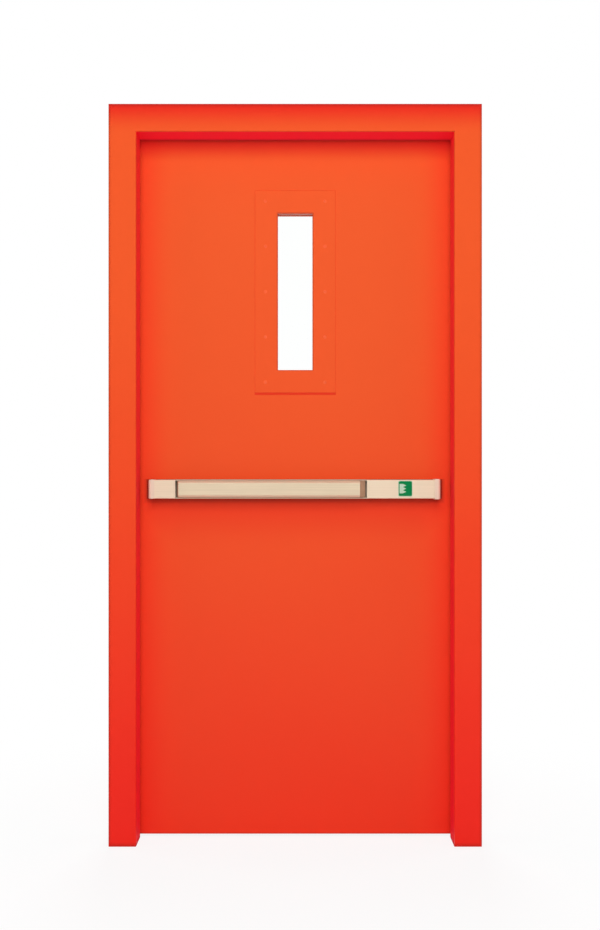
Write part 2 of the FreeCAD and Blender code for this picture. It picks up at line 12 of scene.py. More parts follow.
import bmesh
import bpy
import numpy as np
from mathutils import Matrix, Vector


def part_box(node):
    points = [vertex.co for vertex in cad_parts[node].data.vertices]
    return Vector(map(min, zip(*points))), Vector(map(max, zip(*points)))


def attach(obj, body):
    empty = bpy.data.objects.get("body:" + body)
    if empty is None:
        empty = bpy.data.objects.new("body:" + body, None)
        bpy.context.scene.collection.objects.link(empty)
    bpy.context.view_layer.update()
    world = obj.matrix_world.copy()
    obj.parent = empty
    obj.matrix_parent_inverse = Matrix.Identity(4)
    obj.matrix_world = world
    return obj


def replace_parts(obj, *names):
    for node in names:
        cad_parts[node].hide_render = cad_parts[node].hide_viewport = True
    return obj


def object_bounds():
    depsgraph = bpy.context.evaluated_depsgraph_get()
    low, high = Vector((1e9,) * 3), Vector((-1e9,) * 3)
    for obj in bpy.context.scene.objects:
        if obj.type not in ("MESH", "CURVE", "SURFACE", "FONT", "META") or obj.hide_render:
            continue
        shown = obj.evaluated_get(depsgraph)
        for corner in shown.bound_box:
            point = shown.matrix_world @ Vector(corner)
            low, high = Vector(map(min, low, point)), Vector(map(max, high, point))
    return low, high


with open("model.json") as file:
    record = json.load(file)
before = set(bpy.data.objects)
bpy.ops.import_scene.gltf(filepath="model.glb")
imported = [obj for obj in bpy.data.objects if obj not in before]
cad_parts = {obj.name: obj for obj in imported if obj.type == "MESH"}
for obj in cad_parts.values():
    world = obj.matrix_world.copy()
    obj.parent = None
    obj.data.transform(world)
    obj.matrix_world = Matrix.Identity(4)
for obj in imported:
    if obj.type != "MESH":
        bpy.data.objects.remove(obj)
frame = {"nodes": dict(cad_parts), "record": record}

solids = frame["nodes"]
cad_low, cad_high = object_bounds()
print("solids:", len(solids), "from", list(cad_low), "to", list(cad_high))

# %% [markdown]
# ## Shader sums written as Python
# A finish is a small calculation for each point of a surface: take a position, make a
# cloud of values from it, scale it, add it to a colour. Wiring boxes by hand hides that
# sum. Here one class wraps a socket, so that `1 - mask` or `peel * 0.00002` adds the Math
# node for it. Every other kind of node comes from one method.

# %% A socket that can be used in a sum


class Wire:
    """A shader socket that takes part in sums; each operator adds one Math node."""

    def __init__(self, socket):
        self.socket = socket

    def node(self, kind, settings, inputs, out=0):
        """Adds a node: first its settings, if any, then its inputs as values or wires."""
        tree = self.socket.id_data
        made = tree.nodes.new(kind)
        for name, value in (settings or {}).items():
            setattr(made, name, value)
        for name, value in inputs.items():
            if isinstance(value, Wire):
                tree.links.new(value.socket, made.inputs[name])
            else:
                made.inputs[name].default_value = value
        return Wire(made.outputs[out]) if len(made.outputs) else None

    def math(self, operation, first, second):
        """One Math node on two values or wires."""
        return self.node("ShaderNodeMath", {"operation": operation}, {0: first, 1: second})

    def __add__(self, other):
        return self.math("ADD", self, other)

    def __sub__(self, other):
        return self.math("SUBTRACT", self, other)

    def __rsub__(self, other):
        return self.math("SUBTRACT", other, self)

    def __mul__(self, other):
        return self.math("MULTIPLY", self, other)

    __radd__ = __add__
    __rmul__ = __mul__


# %% [markdown]
# ## Words for a paint shop
# Most finishes need the same few steps: a cloud of soft patches, streaks drawn out along
# one direction, a smooth change from one height to another, the larger of two masks and a
# colour between two. Each is one short function, so that a finish below reads like its
# recipe. All of them start from Object coordinates, which are metres in the door's own frame.

# %% Clouds, streaks, slopes and blends


def new_finish(name):
    """An empty material and the wire that carries the position of each point."""
    material = bpy.data.materials.new(name)
    material.use_nodes = True
    material.node_tree.nodes.clear()
    position = material.node_tree.nodes.new("ShaderNodeTexCoord")
    return material, Wire(position.outputs["Object"])


def cloud(place, per_metre, detail=2.0):
    """Soft random patches from 0 to 1, about so many to the metre."""
    inputs = {"Vector": place, "Scale": per_metre, "Detail": detail}
    return place.node("ShaderNodeTexNoise", None, inputs)


def streaks(place, per_metre):
    """Patches stretched by scaling each axis: few to the metre along, many across."""
    drawn = place.node("ShaderNodeVectorMath", {"operation": "MULTIPLY"}, {0: place, 1: per_metre})
    return cloud(drawn, 1.0, 3.0)


def axis(place, letter):
    """One coordinate of the position."""
    return place.node("ShaderNodeSeparateXYZ", None, {0: place}, letter)


def slope(value, start, end):
    """0 at the start and 1 at the end, with a smooth S between them."""
    limits = {"Value": value, "From Min": start, "From Max": end}
    return value.node("ShaderNodeMapRange", {"interpolation_type": "SMOOTHSTEP"}, limits)


def larger(first, second):
    """The larger of two wires at each point."""
    return first.math("MAXIMUM", first, second)


def blend(share, first, second):
    """The colour that lies that share of the way from the first to the second."""
    return share.node("ShaderNodeMix", {"data_type": "RGBA"}, {0: share, 6: first, 7: second}, 2)


def coat(place, colour, roughness, relief, **constant):
    """Ends a finish: colour and roughness by point, relief as a height in metres."""
    normal = place.node("ShaderNodeBump", None, {"Height": relief, "Distance": 1.0})
    inputs = {"Base Color": colour, "Roughness": roughness, "Normal": normal}
    inputs.update({name.replace("_", " "): value for name, value in constant.items()})
    shader = place.node("ShaderNodeBsdfPrincipled", None, inputs)
    place.node("ShaderNodeOutputMaterial", None, {"Surface": shader})


# %% [markdown]
# ## Orange-red paint
# The whole set is sprayed in one satin coat. The colour runs from a warm orange high up to a
# deep red near the floor, a painted shade for the light that falls off lower down. It is
# redder in the folds, along the edges of the leaf and below the bar, which is painted shade
# with the red light that red faces throw on each other. It is darker where a sheet bends out
# of sight, under the head and round the seat of the bar. Those dark lines are painted shade
# and shadow, which the soft lamps here make too weak, so masks put them into the paint. The
# paint also has the fine skin that painters call orange peel, and large thin sheets are never
# quite flat. So the colour follows the height with some broad clouds in it, three masks of
# painted shade change it, and the relief adds wave and skin. Frame, leaf and window plate
# share the recipe, each with masks of its own, and a fold is duller than a face.

# %% Satin paint
# The reds are painted shade: light falling off lower down, shade in folds and recesses, and red
# bounce light.
FRAME_TOP = cad_high.z
WARM_ORANGE = (0.81, 0.092, 0.019, 1)
LEAF_ORANGE = (0.80, 0.098, 0.022, 1)
LOW_SHADE_RED = (0.855, 0.018, 0.010, 1)
MARGIN_SHADE_RED = (0.75, 0.018, 0.010, 1)
FOLD_SHADE_RED = (1.0, 0.020, 0.050, 1)
STRIP_SHADE_RED = (1.0, 0.022, 0.028, 1)
BEND_SHADE_RED = (0.16, 0.012, 0.006, 1)
FRAME_RED_BELOW, LEAF_RED_BELOW, WARM_ABOVE = -0.06, -0.42, 0.87
PATCHES_PER_METRE, PATCH_SHIFT = 1.7, 0.14
PEEL_PER_METRE, PEEL_RISE = 420.0, 0.000018
WAVES_PER_METRE, WAVE_RISE = 3.2, 0.0007
PAINT_GLOSS, PAINT_ROUGH, ROUGH_PATCHES, FOLD_DULL = 0.16, 0.36, 0.10, 0.45


def satin_paint(name, warm, red_below, fold_shade_colour, deep, folded, bent):
    """Painted shade: red to warm by height, then margins, folds and bends by mask; peel and wave."""
    material, place = new_finish(name)
    patches = cloud(place, PATCHES_PER_METRE) - 0.5
    height = axis(place, "Z") * (1 / FRAME_TOP) + patches * PATCH_SHIFT
    colour = blend(slope(height, red_below, WARM_ABOVE), LOW_SHADE_RED, warm)
    # The margins are painted shade.
    colour = blend(deep(place), colour, MARGIN_SHADE_RED)
    fold = folded(place)
    # The fold colour is painted shade with red bounce light.
    colour = blend(fold, colour, fold_shade_colour)
    # The bends are lines of painted shade and shadow.
    colour = blend(bent(place), colour, BEND_SHADE_RED)
    peel = cloud(place, PEEL_PER_METRE, 1.0) * PEEL_RISE
    wave = cloud(place, WAVES_PER_METRE, 0.0) * WAVE_RISE
    roughness = cloud(place, 22.0) * ROUGH_PATCHES + fold * FOLD_DULL + PAINT_ROUGH
    coat(place, colour, roughness, peel + wave, Specular_IOR_Level=PAINT_GLOSS)
    return material


# %% [markdown]
# Each mask here is painted shade. On the frame the paint is deep in the upper band of the head.
# The fold runs from the front face into the reveal, as far as the stop, and is painted shade
# with the red light that red faces throw on each other. The bends, dark lines of painted
# shade, are the outer edges and a line under the head, next to the leaf. On the leaf a margin
# along the two long edges and a zone below the bar are deep. On its push face the strip below
# the head counts as a fold, and the bends are the upper and lower edge and a line beside and
# below the bar, which is painted shadow. The window plate shares the margin and the strip, and
# its only bend is the edge of its opening. All widths are in metres, and each share says how
# far a mask goes towards its red.

# %% Masks of painted shade for frame, leaf and window plate
leaf_low, leaf_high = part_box("leaf_push_skin")
bead_low, bead_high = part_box("push_side_glazing_bead")
leaf_x = (leaf_low.x + leaf_high.x) / 2
leaf_half = (leaf_high.x - leaf_low.x) / 2
frame_x = (cad_low.x + cad_high.x) / 2
frame_half = (cad_high.x - cad_low.x) / 2
window_x, window_z = (bead_low.x + bead_high.x) / 2, (bead_low.z + bead_high.z) / 2
jamb_low, jamb_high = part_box("hinge_jamb")
face_width = jamb_high.x - jamb_low.x
head_under = FRAME_TOP - face_width
rail_low, rail_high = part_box("exit_bar_rail")
bar_left, bar_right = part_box("exit_bar_latch_end_cap")[0].x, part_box("exit_bar_hinge_end_cap")[1].x
bar_x, bar_half = (bar_left + bar_right) / 2, (bar_right - bar_left) / 2
SIGHT_WIDE, SIGHT_TALL = 0.101, 0.455
HEAD_BAND, BAND_PAST, FACE_DEPTH = 0.085, 0.005, 0.003
BEND_WIDTH = 0.010
END_WIDTH, CREASE_WIDTH = 1.5 * BEND_WIDTH, 0.7 * BEND_WIDTH
REVEAL_START, REVEAL_FULL, REVEAL_TAIL = 0.001, 0.012, 0.02
UNDER_START, UNDER_FULL = 0.05, 0.01
STRIP_START, STRIP_FULL = 0.075, 0.01
LONG_MARGIN = 0.11
# The seat and contact lines beside and below the bar are painted shadow.
SEAT_WIDTH, SEAT_REACH, SEAT_STEEP = 0.018, 0.004, 6
STOP_GAP, SOFFIT_LINE, BELOW_BAR = 0.005, 0.025, 0.15
REVEAL_SHARE, EDGE_SHARE, STRIP_SHARE, BELOW_SHARE = 0.7, 0.5, 0.75, 0.57
BEND_SHARE, CREASE_SHARE, SEAT_SHARE, SOFFIT_SHARE = 0.39, 0.18, 0.5, 0.31
CONTACT_NEAR, CONTACT_FAR, CONTACT_SHARE = 0.004, 0.010, 0.85


def off_middle(place, letter, middle):
    """Distance of a point from a middle line, along one axis."""
    return place.math("ABSOLUTE", axis(place, letter) - middle, 0.0)


def head_band(place):
    """The upper band of the frame's head, where a painted shade deepens the colour."""
    return slope(axis(place, "Z"), FRAME_TOP - HEAD_BAND, FRAME_TOP + BAND_PAST)


def reveal_fold(place):
    """The reveal from the front face to the stop, deepest under the head: painted shade with red
    bounce.
    """
    depth = axis(place, "Y")
    reveal = slope(depth, cad_low.y + REVEAL_START, cad_low.y + REVEAL_FULL)
    reveal = reveal - slope(depth, leaf_low.y, leaf_high.y + REVEAL_TAIL)
    under_head = slope(axis(place, "Z"), leaf_high.z - UNDER_START, leaf_high.z - UNDER_FULL)
    return reveal * (under_head * (1 - REVEAL_SHARE) + REVEAL_SHARE)


def outer_bends(place):
    """Painted shade along the outer edges of the frame's faces, and under the head next to the leaf.
    """
    side = slope(off_middle(place, "X", frame_x), frame_half - BEND_WIDTH, frame_half)
    middle_z = FRAME_TOP / 2
    ends = slope(off_middle(place, "Z", middle_z), middle_z - END_WIDTH, middle_z)
    depth, stop_y = axis(place, "Y"), leaf_low.y - STOP_GAP
    soffit = slope(depth, stop_y - SOFFIT_LINE, stop_y) - slope(depth, stop_y, stop_y + FACE_DEPTH)
    soffit = soffit * slope(off_middle(place, "Z", head_under), FACE_DEPTH, FACE_DEPTH / 2)
    return larger(larger(side, ends) * BEND_SHARE, soffit * SOFFIT_SHARE)


def long_margins(place):
    """A margin of painted shade that deepens towards the long edges of the leaf."""
    return slope(off_middle(place, "X", leaf_x), leaf_half - LONG_MARGIN, leaf_half) * EDGE_SHARE


def push_face(place):
    """1 on the leaf's push face, and 0 on its edges and pull face."""
    return slope(axis(place, "Y"), leaf_low.y + FACE_DEPTH, leaf_low.y)


def leaf_reds(place):
    """Painted shade: the long margins, and a zone of the push face that fades away below the bar."""
    height = axis(place, "Z")
    zone = slope(height, rail_low.z - BELOW_BAR, rail_low.z)
    zone = zone - slope(height, rail_low.z, rail_high.z)
    return larger(long_margins(place), zone * push_face(place) * BELOW_SHARE)


def top_strip(place):
    """Painted shade and red bounce light on the leaf's push face, in the strip just below the head.
    """
    strip = slope(axis(place, "Z"), leaf_high.z - STRIP_START, leaf_high.z - STRIP_FULL)
    return strip * push_face(place) * STRIP_SHARE


def leaf_bends(place):
    """Painted shadow in narrow lines on the push face: lower edge, head, beside and below the bar."""
    height = axis(place, "Z")
    lower = slope(height, leaf_low.z + BEND_WIDTH / 2, leaf_low.z) * BEND_SHARE
    crease = slope(height, head_under - CREASE_WIDTH, head_under) * CREASE_SHARE
    below = rail_low.z - height
    beside = off_middle(place, "X", bar_x) - bar_half - SEAT_REACH
    beside = larger(beside, (height - rail_high.z) * SEAT_STEEP)
    seat = slope(larger(beside, below), SEAT_WIDTH, 0.0) * SEAT_SHARE
    beside = larger(beside, below * SEAT_STEEP)
    contact = slope(beside, CONTACT_FAR, CONTACT_NEAR) * CONTACT_SHARE
    return larger(larger(lower, crease), larger(seat, contact)) * push_face(place)


def sight_bend(place):
    """A narrow line of painted shade round the opening in the window plate's push face."""
    sides = off_middle(place, "X", window_x) - SIGHT_WIDE / 2
    ends = off_middle(place, "Z", window_z) - SIGHT_TALL / 2
    line = slope(larger(sides, ends), BEND_WIDTH / 2, 0.0) * BEND_SHARE
    return line * slope(axis(place, "Y"), bead_low.y + FACE_DEPTH / 2, bead_low.y)


frame_paint = satin_paint(
    "orange_red_frame_paint", WARM_ORANGE, FRAME_RED_BELOW, FOLD_SHADE_RED,
    head_band, reveal_fold, outer_bends)
leaf_paint = satin_paint(
    "orange_red_leaf_paint", LEAF_ORANGE, LEAF_RED_BELOW, STRIP_SHADE_RED,
    leaf_reds, top_strip, leaf_bends)
plate_paint = satin_paint(
    "orange_red_plate_paint", LEAF_ORANGE, LEAF_RED_BELOW, STRIP_SHADE_RED,
    long_margins, top_strip, sight_bend)
finishes = {"orange_red_paint": frame_paint}
print("paint for a frame", round(FRAME_TOP, 3), "m high, a leaf", round(2 * leaf_half, 3), "m wide")

# %% [markdown]
# ## Champagne aluminium
# The touch bar is extruded aluminium, brushed along its length and anodised in a pale
# champagne tone. Brushing leaves fine lines along the bar, so the streak pattern is long
# in X and very short across. The lines change the colour a little and the gloss more. The
# anodic film scatters light as paint does, so only a third of the shine is bare metal.

# %% Brushed, anodised aluminium
BRUSHED_ALONG_X = (5.0, 700.0, 700.0)
BARE_METAL = 0.35


def champagne_aluminium(name, dark, light, gloss):
    """Brushed lines along X that shift the tone and the gloss, under a thin milky film."""
    material, place = new_finish(name)
    lines = streaks(place, BRUSHED_ALONG_X)
    tone = lines * 0.8 + cloud(place, 9.0) * 0.3
    colour = blend(slope(tone, 0.25, 0.85), dark, light)
    coat(place, colour, lines * 0.16 + gloss, lines * 0.000004, Metallic=BARE_METAL)
    return material


finishes["champagne_aluminium"] = champagne_aluminium(
    "champagne_cover_aluminium", (0.775, 0.615, 0.445, 1), (0.855, 0.685, 0.51, 1), 0.36)
pad_aluminium = champagne_aluminium(
    "champagne_pad_aluminium", (0.67, 0.54, 0.375, 1), (0.785, 0.635, 0.45, 1), 0.32)

# %% [markdown]
# ## Steel, zinc, rubber, plastics and glass
# Behind the paint are plainer finishes. Hinges, forend, strike and latch are satin steel,
# ground along their length. Anchors and backing plates are zinc plated, with a faint
# crystal pattern. Seals are black rubber, the tape beside the pane is pale, the pad's end
# plugs are brown moulded plastic and the guides dark nylon. The pane is clear, with the
# faint green that thick glass has.

# %% The plainer finishes
GROUND_UPRIGHT = (900.0, 900.0, 14.0)
MOULDED_GLOSS, GRAIN_PER_METRE, GRAIN_DULL = 0.2, 900.0, 0.12


def satin_steel():
    """Ground steel: fine upright lines in tone, gloss and relief."""
    material, place = new_finish("satin_ground_steel")
    lines = streaks(place, GROUND_UPRIGHT)
    colour = blend(lines, (0.46, 0.45, 0.43, 1), (0.68, 0.67, 0.65, 1))
    coat(place, colour, lines * 0.18 + 0.24, lines * 0.000005, Metallic=1.0)
    return material


def zinc_plate():
    """Zinc: crystal patches a few millimetres wide, over a cloudy grey."""
    material, place = new_finish("zinc_plated_steel")
    crystal = place.node("ShaderNodeTexVoronoi", None, {"Vector": place, "Scale": 160.0}, "Color")
    patch = axis(crystal, "X") * 0.6 + cloud(place, 30.0) * 0.4
    colour = blend(patch, (0.40, 0.41, 0.42, 1), (0.66, 0.67, 0.66, 1))
    coat(place, colour, patch * 0.2 + 0.34, cloud(place, 500.0) * 0.00001, Metallic=1.0)
    return material


def grained(place, colour, roughness, grain):
    """Ends a moulded finish: a fine grain in the gloss and in the relief."""
    speck = cloud(place, GRAIN_PER_METRE)
    dullness = speck * GRAIN_DULL + roughness
    coat(place, colour, dullness, speck * grain, Specular_IOR_Level=MOULDED_GLOSS)


def moulded(name, dark, light, roughness, grain):
    """Rubber or plastic: a fine moulded grain and a little cloudiness in the tone."""
    material, place = new_finish(name)
    grained(place, blend(cloud(place, 40.0), dark, light), roughness, grain)
    return material


def clear_glass():
    """Float glass: nearly white, a trace of green, faint cleaning marks in the gloss."""
    material, place = new_finish("clear_float_glass")
    marks = slope(cloud(place, 14.0, 4.0), 0.55, 0.8)
    colour = blend(cloud(place, 3.0), (0.985, 0.998, 0.992, 1), (0.992, 1.0, 0.996, 1))
    relief = cloud(place, 2.0) * 0.00002
    coat(place, colour, marks * 0.015, relief, Transmission_Weight=1.0, IOR=1.5)
    return material


finishes["satin_steel"] = satin_steel()
finishes["zinc_plated_steel"] = zinc_plate()
finishes["black_rubber"] = moulded(
    "black_seal_rubber", (0.012, 0.012, 0.012, 1), (0.028, 0.027, 0.026, 1), 0.62, 0.00003)
finishes["bronze_plastic"] = moulded(
    "bronze_plug_plastic", (0.35, 0.21, 0.125, 1), (0.45, 0.275, 0.17, 1), 0.42, 0.00002)
finishes["pale_glazing_tape"] = moulded(
    "pale_glazing_tape", (0.88, 0.85, 0.82, 1), (0.94, 0.92, 0.90, 1), 0.6, 0.00003)
finishes["dark_nylon"] = moulded(
    "dark_guide_nylon", (0.035, 0.035, 0.038, 1), (0.06, 0.06, 0.065, 1), 0.5, 0.00002)
finishes["clear_glass"] = clear_glass()
print("finishes:", ", ".join(sorted(finishes)))

# %% [markdown]
# ## Dress the solids
# The record says which finish each solid takes. The solids keep their meshes, and only
# their material slots change.

# %% A finish for every solid
for subpart in frame["record"]["subparts"]:
    for material_slot in solids[subpart["node"]].material_slots:
        material_slot.material = finishes[subpart["material_slot"]]
for node in frame["record"]["behaviour"]["bodies"]["leaf"]:
    if solids[node].material_slots[0].material == frame_paint:
        solids[node].material_slots[0].material = leaf_paint
for side in ("push", "pull"):
    solids[f"{side}_side_glazing_bead"].material_slots[0].material = plate_paint
solids["push_pad"].material_slots[0].material = pad_aluminium

# %% [markdown]
# ## From a grid of points to a piece
# The small pieces are surfaces worked out with arrays. A grid of points has rows and
# columns, and each four neighbours make one face. The last column joins the first, so the
# columns go round in a ring. A stack of grids makes many like pieces in one mesh. Points
# that fall together are merged, so that each piece is a closed skin with its faces outwards.

# %% Grid to mesh
MERGE = 1e-6
SMOOTH_BELOW = math.radians(35)


def grid_piece(name, grids, body, slot_name, finish=None):
    """A mesh over points[copy, row, column], whose columns close into a ring."""
    grids = np.asarray(grids, dtype=float)
    copies, rows, columns = grids.shape[:3]
    index = np.arange(copies * rows * columns).reshape(copies, rows, columns)
    index = np.concatenate([index, index[:, :, :1]], axis=2)
    corners = (index[:, :-1, :-1], index[:, :-1, 1:], index[:, 1:, 1:], index[:, 1:, :-1])
    faces = np.stack(corners, axis=-1).reshape(-1, 4)
    mesh = bpy.data.meshes.new(name)
    mesh.from_pydata(grids.reshape(-1, 3), [], faces)
    skin = bmesh.new()
    skin.from_mesh(mesh)
    bmesh.ops.remove_doubles(skin, verts=skin.verts, dist=MERGE)
    bmesh.ops.recalc_face_normals(skin, faces=skin.faces)
    skin.to_mesh(mesh)
    skin.free()
    mesh.shade_smooth()
    mesh.set_sharp_from_angle(angle=SMOOTH_BELOW)
    mesh.materials.append(finish or finishes[slot_name])
    piece = bpy.data.objects.new(name, mesh)
    bpy.context.scene.collection.objects.link(piece)
    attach(piece, body)
    print(name, "-", copies, "copies,", len(mesh.polygons), "faces")
    return piece


# %% [markdown]
# ## Screws
# The window's steel beads are held by ten screws on each face, painted over with the door.
# Their heads are a little lighter than the door's paint, a painted highlight on the domes.
# Hinges, strike and forend have bare countersunk ones. A screw head is a low dome with a
# cross pressed into it. On a polar grid that is one formula: the height of the dome at a
# radius, less the depth of the cross where the point lies within an arm. A rim row sinks
# into the plate and a last point closes the underside.

# %% Screw heads as a polar height field
SCREW_RINGS = 15
SCREW_RAYS = 48
# Shares of the radius: half an arm's width and its soft edge, its reach and the run-out at
# its end, the depth of the cross, and how far the rim sinks into the plate.
ARM_HALF, ARM_EDGE, ARM_REACH, ARM_RUNOUT = 0.13, 0.05, 0.50, 0.22
CROSS_DEPTH, RIM_SINK = 0.3, 0.12


def screw_heads(centres, outward, radius, crown):
    """Dome of height crown * (1 - r^2) less a cross; it faces along outward."""
    share = np.append(np.linspace(0, 1, SCREW_RINGS), [1.0, 0.0])[:, None]
    angle = np.linspace(0, 2 * np.pi, SCREW_RAYS, endpoint=False)[None, :]
    across, up = share * np.cos(angle), share * np.sin(angle)
    near, far = np.minimum(abs(across), abs(up)), np.maximum(abs(across), abs(up))
    arm = np.clip((ARM_HALF - near) / ARM_EDGE, 0, 1)
    arm = arm * np.clip((ARM_REACH - far) / ARM_RUNOUT, 0, 1)
    height = crown * (1 - share**2) - CROSS_DEPTH * radius * arm
    height[-2:] = -RIM_SINK * radius
    height[-3] = 0.0
    outward = np.asarray(outward, dtype=float)
    sideways = np.cross((0, 0, 1), outward)
    local = radius * (across[..., None] * sideways + up[..., None] * np.array((0, 0, 1)))
    return np.asarray(centres)[:, None, None, :] + local + height[..., None] * outward


BEAD_SCREW_SIDE = 0.0865
BEAD_SCREW_PITCH = 0.1315
BEAD_SCREW_RADIUS = 0.0052
BEAD_SCREW_CROWN = 0.0018
# The heads are a little lighter than the door's paint: a painted highlight on their domes.
highlighted_screw_paint = moulded(
    "screw_paint_with_highlight", (0.86, 0.122, 0.034, 1), (0.89, 0.145, 0.048, 1), 0.22, 0.00001)
bead_places = [
    (window_x + way * BEAD_SCREW_SIDE, window_z + step * BEAD_SCREW_PITCH)
    for way in (-1, 1) for step in range(-2, 3)
]
for side, outward in (("push", (0, -1, 0)), ("pull", (0, 1, 0))):
    face_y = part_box(f"{side}_side_glazing_bead")[outward[1] > 0].y
    centres = [(x, face_y, z) for x, z in bead_places]
    heads = screw_heads(centres, outward, BEAD_SCREW_RADIUS, BEAD_SCREW_CROWN)
    grid_piece(f"{side}_bead_screws", heads, "leaf", "orange_red_paint", highlighted_screw_paint)

# %% [markdown]
# Hinge screws lie nearly flush, because the two flaps close on each other. Each flap has
# four, set in a zigzag so that the holes don't line up along the grain of the plate. Their
# places follow from the pin's axis, which is midway between the two flaps.

# %% Hinge, forend and strike screws
HINGE_GAP = 0.005
FLUSH_RADIUS = 0.0042
FLUSH_CROWN = 0.0003
HINGE_SCREWS = ((-0.036, 0.028), (-0.012, 0.018), (0.012, 0.028), (0.036, 0.018))
PLATE_SCREWS = (("lock_forend", "leaf", -1, 0.012), ("strike_plate", "frame", 1, 0.014))
pin_boxes = [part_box(f"{p}_hinge_pin") for p in ("lower", "middle", "upper")]
pins = np.array([np.mean([list(corner) for corner in box], axis=0) for box in pin_boxes])
for body, side in (("frame", 1), ("leaf", -1)):
    steps = np.array([(side * HINGE_GAP / 2, -back, up) for up, back in HINGE_SCREWS])
    centres = (pins[:, None, :] + steps[None, :, :]).reshape(-1, 3)
    heads = screw_heads(centres, (-side, 0, 0), FLUSH_RADIUS, FLUSH_CROWN)
    grid_piece(f"{body}_hinge_screws", heads, body, "satin_steel")
for plate, body, side, inset in PLATE_SCREWS:
    low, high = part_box(plate)
    face_x = high.x if side > 0 else low.x
    middle_y = (low.y + high.y) / 2
    centres = [(face_x, middle_y, low.z + inset), (face_x, middle_y, high.z - inset)]
    heads = screw_heads(centres, (side, 0, 0), FLUSH_RADIUS, FLUSH_CROWN)
    grid_piece(f"{plate}_screws", heads, body, "satin_steel")

# %% [markdown]
# ## Sealant round the window plate, and a painted shadow below it
# The plate of the window bead sits on the leaf in a thin bed of sealant, painted over with the
# rest. It shows as a faint line round the plate, a little darker than the door's paint, which
# is partly painted shade. Below the plate the fillet is much wider and deep red: that is a
# painted shadow of the plate's lower edge. Its section is a small hollow fillet between the
# plate's edge and the skin, carried round a rectangle: the path gives each corner and how
# far the fillet reaches there, the profile the share of that reach and the height.

# %% A fillet carried round the plate
SEALANT_WIDTH = 0.0022
SEALANT_SHADOW_REACH = 0.0075
SEALANT_STEPS = 6
SEALANT_UNDER, SEALANT_RISE = 0.1, 0.9
SEALANT_ROUGH, SEALANT_GRAIN = 0.5, 0.00003
# The sealant's tone is a little darker than the leaf's, partly painted shade; its red below the plate
# is painted shadow.
SEALANT_TONE = (0.79, 0.078, 0.018, 1)
SEALANT_SHADOW_RED = (0.73, 0.036, 0.011, 1)


def plate_fillet(low, high, face_y, rise):
    """Closed ring of a hollow quarter: out by reach * (1 - cos a), up by rise * (1 - sin a)."""
    angle = np.linspace(0, np.pi / 2, SEALANT_STEPS)
    out = np.append(1 - np.cos(angle), -SEALANT_UNDER)[:, None, None]
    up = np.append(rise * (1 - np.sin(angle)), 0.0)[:, None]
    corners = np.array([(low.x, low.z), (high.x, low.z), (high.x, high.z), (low.x, high.z)])
    ways = np.array([(-1, -1), (1, -1), (1, 1), (-1, 1)])
    reach = np.where(ways > 0, SEALANT_WIDTH, (SEALANT_WIDTH, SEALANT_SHADOW_REACH))
    across = corners[None] + out * (ways * reach)[None]
    depth = np.broadcast_to(face_y + up, across.shape[:2])
    ring = np.stack([across[..., 0], depth, across[..., 1]], axis=-1)
    return np.concatenate([ring, ring[:1]], axis=0)


def sealant_and_shadow_paint():
    """The leaf's tone above and at the sides, and a deep red below the plate that is a painted
    shadow.
    """
    material, place = new_finish("sealant_and_shadow_paint")
    shadow_below = slope(axis(place, "Z"), bead_low.z + SEALANT_WIDTH, bead_low.z)
    grained(place, blend(shadow_below, SEALANT_TONE, SEALANT_SHADOW_RED), SEALANT_ROUGH, SEALANT_GRAIN)
    return material


sealant = sealant_and_shadow_paint()
for side, rise in (("push", -1), ("pull", 1)):
    low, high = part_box(f"{side}_side_glazing_bead")
    skin_low, skin_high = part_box(f"leaf_{side}_skin")
    skin_y = skin_low.y if rise < 0 else skin_high.y
    plate_y = low.y if rise < 0 else high.y
    fillet = plate_fillet(low, high, skin_y, (plate_y - skin_y) * SEALANT_RISE)
    grid_piece(f"{side}_plate_sealant_and_shadow", fillet[None], "leaf", "orange_red_paint", sealant)

# %% [markdown]
# ## Welds in the open back of the frame
# The corners of the frame are welded from behind, where the section is open, so that the
# faces stay smooth. The straps and feet are tacked in as well. A weld is a row of frozen
# ripples: a rounded section carried along a line, its size swelling a little with every
# ripple and running out at both ends. The section is a part of an ellipse between two
# directions, closed through the line itself, so a bead fills a corner or lies on a sheet.

# %% Rippled beads along straight lines
RIPPLE_PITCH = 0.0032
RIPPLE_SWELL = 0.16
RIPPLE_ROWS = 5
BEAD_COLUMNS = 9


def weld_beads(starts, ends, side, rise, arc):
    """Line plus size(s) * (side * cos a + rise * sin a); size swells with |sin(pi s / pitch)|."""
    starts, ends = np.asarray(starts, dtype=float), np.asarray(ends, dtype=float)
    length = np.linalg.norm(ends - starts, axis=1).max()
    share = np.linspace(0, 1, int(length / RIPPLE_PITCH * RIPPLE_ROWS) + 1)
    swell = 1 - RIPPLE_SWELL + RIPPLE_SWELL * abs(np.sin(np.pi * share * length / RIPPLE_PITCH))
    runout = np.sqrt(np.clip(np.minimum(share, 1 - share) * length / RIPPLE_PITCH, 0, 1))
    angle = np.linspace(0, arc, BEAD_COLUMNS)
    shape = np.stack([np.append(np.cos(angle), 0), np.append(np.sin(angle), 0)], axis=-1)
    frames = np.stack([np.broadcast_to(way, starts.shape) for way in (side, rise)], axis=1)
    section = np.einsum("cf,kfx->kcx", shape, frames)
    line = starts[:, None, :] + share[None, :, None] * (ends - starts)[:, None, :]
    return line[:, :, None, :] + (swell * runout)[None, :, None, None] * section[:, None, :, :]


# %% [markdown]
# The corner welds run along the mitres, on the inside of the push face and of the pull
# face. The two corners mirror each other about the middle of the doorway.

